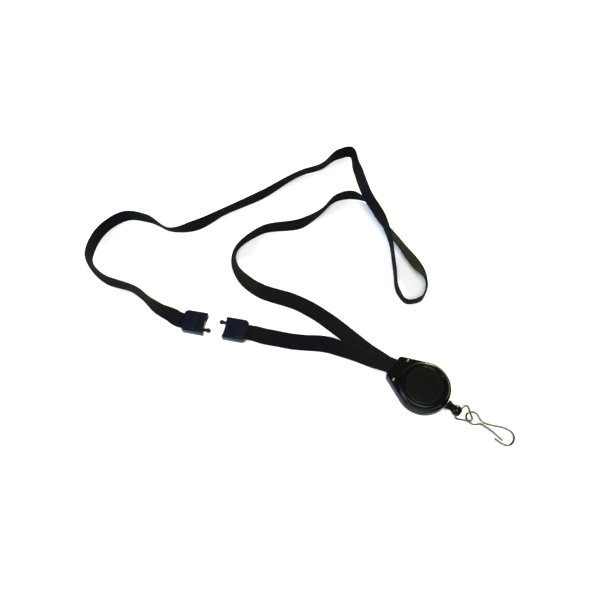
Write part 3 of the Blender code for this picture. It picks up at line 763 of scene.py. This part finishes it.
def cap_disc(material):
    """The disc in the dome: gently crowned, with a rounded rim."""
    profile = [(0, CAP_TOP)]
    for radius in spaced(0, CAP_RADIUS - CAP_RIM, 8)[1:]:
        profile.append((radius, CAP_TOP - CAP_CROWN * (radius / CAP_RADIUS) ** 2))
    edge = profile[-1][1]
    for angle in spaced(0, pi / 2, 6)[1:]:
        profile.append((CAP_RADIUS - CAP_RIM + CAP_RIM * sin(angle), edge - CAP_RIM * (1 - cos(angle))))
    profile += [(CAP_RADIUS, CAP_BOTTOM), (0, CAP_BOTTOM)]
    dress(turned("cap_disc", profile, 128), material, "cap_plastic", "root", "front_cap_disc")


def pin_head(name, side, material, node):
    """A round-headed pin through both halves of the tail."""
    under = RIM_TOP + PIN_HEAD_EDGE
    profile = []
    for angle in spaced(0, pi / 2, 8):
        profile.append((PIN_HEAD_RADIUS * sin(angle), under + PIN_HEAD_EDGE + PIN_HEAD_RISE * cos(angle)))
    profile += [(PIN_HEAD_RADIUS, under), (PIN_RADIUS, under), (PIN_RADIUS, PIN_FOOT), (0, PIN_FOOT)]
    pin = turned(name, profile, 40)
    pin.data.transform(Matrix.Translation((PIN_X, side * PIN_Y, 0)))
    dress(pin, material, "pin_steel", "root", node)


# ---- pull cord, its end, the ring and the hook ----


def pull_cord_run(material):
    """The cord from the winding to the knot, built as a fixed tube. On the reel it draws out of the case
    with the moulded end.
    """
    run = CORD_RUN + [(KNOT_CENTRE - KNOT_RADIUS, 0.0)]
    points = smooth_points([(x, y, AXIS_HEIGHT) for x, y in run], CORD_STEP)
    cord = tube("pull_cord_run", points, CORD_RADIUS, 16)
    dress(cord, material, "cord_nylon", None, "cord_lead")
    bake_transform(cord)


def sleeve_end(material):
    """The moulded end: a neck with soft tapering ribs, and a ball bored for the cord and the ring."""
    bore = CORD_RADIUS + BORE_CLEARANCE
    cavity = KNOT_RADIUS + CAVITY_CLEARANCE
    rib_phase = 0.15
    rib_fullness = 0.7
    profile = [(bore, SLEEVE_START), (NECK_RADIUS, SLEEVE_START)]
    for ribs_passed in spaced(0, NECK_RIBS, NECK_RIBS * 12):
        crest = RIB_CREST - ribs_passed * RIB_TAPER
        wave = 0.5 - 0.5 * cos(2 * pi * (ribs_passed + rib_phase))
        height = SLEEVE_START + NECK_RIB_START + ribs_passed * NECK_RIB_PITCH
        profile.append((crest - NECK_RIB_DEPTH * wave**rib_fullness, height))
    neck_angle = pi - 0.74
    mouth_angle = 0.52
    for angle in spaced(neck_angle, mouth_angle, 28):
        profile.append((BALL_RADIUS * sin(angle), BALL_CENTRE + BALL_RADIUS * cos(angle)))
    mouth = BALL_CENTRE + BALL_RADIUS * cos(mouth_angle) - BALL_MOUTH_EDGE
    profile += [(cavity, mouth), (cavity, CAVITY_START), (bore, CAVITY_START)]
    sleeve = turned("sleeve_end", profile, 72)
    sleeve.data.transform(along_x(0, 0, AXIS_HEIGHT))
    low = Vector(RING_CORNERS[2])
    high = Vector(RING_CORNERS[0])
    turn = (high - low).to_track_quat("Z", "Y").to_matrix().to_4x4()
    place = Matrix.Translation((low + high) / 2) @ turn
    hole = cylinder("ring_hole", RING_WIRE + RING_CLEARANCE, -RING_HOLE_HALF, RING_HOLE_HALF, 32, place)
    dress(combine(sleeve, hole, "DIFFERENCE"), material, "sleeve_plastic", "cord_end", "cord_end_sleeve")


def rounded_loop(corners, radius, steps):
    """A closed run of points through the corners, each rounded by an arc."""
    corners = [Vector(corner) for corner in corners]
    points = []
    for i, corner in enumerate(corners):
        back = (corners[i - 1] - corner).normalized()
        ahead = (corners[(i + 1) % len(corners)] - corner).normalized()
        half_angle = back.angle(ahead) / 2
        centre = corner + (back + ahead).normalized() * radius / sin(half_angle)
        start = (corner + back * radius / tan(half_angle) - centre).normalized()
        end = (corner + ahead * radius / tan(half_angle) - centre).normalized()
        points += [centre + radius * start.slerp(end, share) for share in spaced(0, 1, steps)]
    return points


def ring_wire(material):
    points = rounded_loop(RING_CORNERS, RING_CORNER_RADIUS, 16)
    ring = tube("ring_wire", points, RING_WIRE, WIRE_SIDES, closed=True)
    dress(ring, material, "wire_steel", "ring", "d_ring")


def arc(centre, radius, start, end, steps, tilt=0):
    """Points round a centre between two angles, in a plane tilted about X."""
    place = Matrix.Translation(centre) @ Matrix.Rotation(-tilt, 4, "X")
    angles = spaced(start, end, steps)
    return [place @ Vector((radius * cos(angle), radius * sin(angle), 0)) for angle in angles]


def hook_wires(material):
    """The hook's wire, and its spring arm, which bends away from it near the eye."""
    nose = Vector((NOSE_X, BEND_CENTRE[1] - BEND_RADIUS, BEND_CENTRE[2]))
    bend = arc(BEND_CENTRE, BEND_RADIUS, BEND_FROM, BEND_TO, 8)
    eye = arc(EYE_CENTRE, EYE_RADIUS, EYE_FROM, EYE_TO, 9, EYE_TILT)
    points = smooth_points([nose] + bend + [Vector(SHANK_FOOT)] + eye, WIRE_STEP)
    wire = tube("hook_wire", points, HOOK_WIRE, WIRE_SIDES)
    dress(wire, material, "wire_steel", "hook", "snap_hook")
    start = ARM_OUTLINE[0][0]
    arm = [Vector((x, y, ARM_START_HEIGHT - (x - start) * ARM_FALL)) for x, y in ARM_OUTLINE]
    gate = tube("hook_gate_wire", smooth_points([eye[-1]] + arm, WIRE_STEP), HOOK_WIRE, WIRE_SIDES)
    dress(gate, material, "wire_steel", None, "snap_hook_arm")
    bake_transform(gate)


# ---- the breakaway ----


def breakaway_place(left):
    """The frame of one half: +X runs from its strap to its mating face."""
    along = Vector((cos(BREAKAWAY_ANGLE), sin(BREAKAWAY_ANGLE), 0))
    turn = BREAKAWAY_ANGLE if left else BREAKAWAY_ANGLE + pi
    centre = RIGHT_HALF_CENTRE - along * HALF_SPACING if left else RIGHT_HALF_CENTRE
    return Matrix.Translation(centre) @ Matrix.Rotation(turn, 4, "Z")


def breakaway_outline():
    """A half seen from above: cut corners at the strap, tight ones at the mating face."""
    back = -HALF_LENGTH / 2
    front = HALF_LENGTH / 2
    side = HALF_WIDTH / 2
    nick = HALF_CORNER * 0.3
    upper = [(front, side - HALF_CORNER), (front - nick, side - nick), (front - HALF_CORNER, side)]
    upper.append((back + HALF_CUT, side))
    upper += [(back + HALF_CUT * ahead, side - HALF_CUT * inward) for ahead, inward in CUT_BOW]
    upper.append((back, side - HALF_CUT))
    return upper + [(x, -y) for x, y in reversed(upper)]


def lid_corners(grow):
    """The lowest and highest corners of the lid, or of its pocket when it is grown."""
    back = -HALF_LENGTH / 2 + LID_BACK
    low = (back - grow, -LID_HALF_WIDTH - grow, LID_BOTTOM - grow)
    high = (back + LID_LENGTH + grow, LID_HALF_WIDTH + grow, LID_TOP + grow)
    return low, high


def peg_profile():
    """The peg's stem and its round bulb, as (radius, height) points."""
    neck_angle = -0.84
    profile = [(0, PEG_LENGTH)]
    for angle in spaced(pi / 2, neck_angle, 16)[1:]:
        profile.append((PEG_BULB * cos(angle), PEG_LENGTH - PEG_BULB + PEG_BULB * sin(angle)))
    return profile + [(PEG_STEM, PEG_STEM_TOP), (PEG_STEM, -PEG_ROOT), (0, -PEG_ROOT)]


def catch_half(side_name, left, material, body):
    """One half of the breakaway: a peg on one side of its dished face, a socket on the other."""
    place = breakaway_place(left)
    front = HALF_LENGTH / 2
    middle = HALF_HEIGHT / 2
    half = slab("catch_body_" + side_name, breakaway_outline(), 0, HALF_HEIGHT)
    centre = Matrix.Translation((front + DISH_RADIUS - DISH_DEPTH, 0, 0))
    half = combine(half, cylinder("dish", DISH_RADIUS, -OVERRUN, CUT_TOP, 400, centre), "DIFFERENCE")
    half = bevelled(half, HALF_EDGE, 5, 50)
    low = (front - GROOVE_FAR, -GROOVE_HALF_WIDTH, HALF_HEIGHT - GROOVE_DEPTH)
    high = (front - GROOVE_NEAR, GROOVE_HALF_WIDTH, HALF_HEIGHT + OVERRUN)
    half = combine(half, box("groove", low, high), "DIFFERENCE")
    low = (-front - OVERRUN, -SLOT_HALF, HALF_SLOT_LOW)
    high = (-front + HALF_SLOT_DEPTH, SLOT_HALF, HALF_SLOT_HIGH)
    half = combine(half, bevelled(box("slot", low, high), SLOT_EDGE, 3), "DIFFERENCE")
    low, high = lid_corners(LID_CLEARANCE)
    half = combine(half, bevelled(box("pocket", low, (*high[:2], CUT_TOP)), SLOT_EDGE, 3), "DIFFERENCE")
    socket_place = along_x(front, PEG_OFFSET, middle)
    socket = cylinder("socket", SOCKET_RADIUS, -SOCKET_DEPTH, OVERRUN, 48, socket_place)
    half = combine(half, socket, "DIFFERENCE")
    peg = turned("peg", peg_profile(), 48)
    peg.data.transform(along_x(front, -PEG_OFFSET, middle))
    half = combine(half, peg, "UNION")
    half.data.transform(place)
    dress(half, material, "fitting_plastic", body, "breakaway_body_" + side_name)
    low, high = lid_corners(0)
    lid = bevelled(box("catch_lid_" + side_name, low, high), LID_EDGE, 5)
    lid.data.transform(place)
    dress(lid, material, "fitting_plastic", body, "breakaway_lid_" + side_name)
    return half, lid


# ---- the stage ----


def area_light(name, place, size, power, colour):
    data = bpy.data.lights.new(name, "AREA")
    data.shape = "DISK"
    data.size = size
    data.energy = power
    data.color = colour
    lamp = link(bpy.data.objects.new(name, data))
    lamp.location = place
    lamp.rotation_euler = (TARGET - Vector(place)).to_track_quat("-Z", "Y").to_euler()


def set_stage():
    """A pale floor, a soft overhead light, a warm one behind and a cool one at the left."""

    def build(bm):
        bmesh.ops.create_grid(bm, x_segments=1, y_segments=1, size=FLOOR_HALF)

    floor = mesh_object("floor", build)
    floor.location.z = -FLOOR_DROP
    floor.data.materials.append(floor_material())
    right = Vector((cos(AZIMUTH), sin(AZIMUTH), 0))
    away = Vector((-sin(AZIMUTH), cos(AZIMUTH), 0))
    up = Vector((0, 0, 1))
    area_light("overhead", TARGET - away * 0.35 + up * 0.95, 0.7, 10.0, (1, 1, 1))
    area_light("warm_back", TARGET + right * 0.30 + away * 0.55 + up * 0.22, 0.16, 9.0, (1, 0.93, 0.50))
    area_light("cool_left", TARGET - right * 0.55 - away * 0.20 + up * 0.30, 0.30, 5.0, (0.50, 0.68, 1))
    world = bpy.data.worlds.new("studio")
    world.use_nodes = True
    background = world.node_tree.nodes["Background"]
    background.inputs["Color"].default_value = (1, 1, 1, 1)
    background.inputs["Strength"].default_value = 0.30
    bpy.context.scene.world = world
    bpy.context.scene.view_settings.view_transform = "Standard"


# ---- build it ----

set_camera()
set_stage()

web = web_material()
case_plastic = plastic_material("case_plastic", (0.0010, 0.0011, 0.0012), 0.20, 0.12, 0.0)
cap_plastic = plastic_material("cap_plastic", (0.0014, 0.0016, 0.0015), 0.26, 0.10, 0.0)
sleeve_plastic = plastic_material("sleeve_plastic", (0.0012, 0.0014, 0.0020), 0.24, 0.10, 0.04)
# The breakaway's dark plastic, with a painted blue reflection mixed into its colour.
fitting_plastic = plastic_material("fitting_plastic", (0.0016, 0.0028, 0.0070), 0.30, 0.20, 0.04)
spool_plastic = plastic_material("spool_plastic", (0.05, 0.05, 0.055), 0.5, 0.2)
wire_steel = wire_material()
cord_nylon = cord_material()
spring_strip = spring_material()

long_steps = strap_steps(reel_end(LOWER_STRAP_Z) + LONG_ROUTE + END_ROUTE + half_end(True))
short_steps = strap_steps(reel_end(UPPER_STRAP_Z) + SHORT_ROUTE + half_end(False))
joint = Vector(LONG_ROUTE[-1][:2])
middle = min(range(len(long_steps)), key=lambda i: (long_steps[i][0].xy - joint).length)
end_steps = long_steps[middle:]
long_steps = long_steps[:middle + 1]
web_long = strap_piece("web_long", long_steps, web, "strap_long")
web_end = strap_piece("web_end", end_steps, web, "strap_long_end")
web_short = strap_piece("web_short", short_steps, web, "strap_short")
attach(web_long, "root")
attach(web_short, "root")
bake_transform(web_end)

catch_left = catch_half("left", True, fitting_plastic, "breakaway_left")
catch_right = catch_half("right", False, fitting_plastic, "root")

case_back(case_plastic)
case_cover(case_plastic)
cap_disc(cap_plastic)
pin_head("pin_head_left", 1, wire_steel, "case_pin_left")
pin_head("pin_head_right", -1, wire_steel, "case_pin_right")
pull_cord_run(cord_nylon)
sleeve_end(sleeve_plastic)
ring_wire(wire_steel)
hook_wires(wire_steel)

for node, material in (
    ("spool", spool_plastic),
    ("power_spring", spring_strip),
    ("wound_cord", cord_nylon),
    ("cord_end_knot", cord_nylon),
):
    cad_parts[node].material_slots[0].material = material
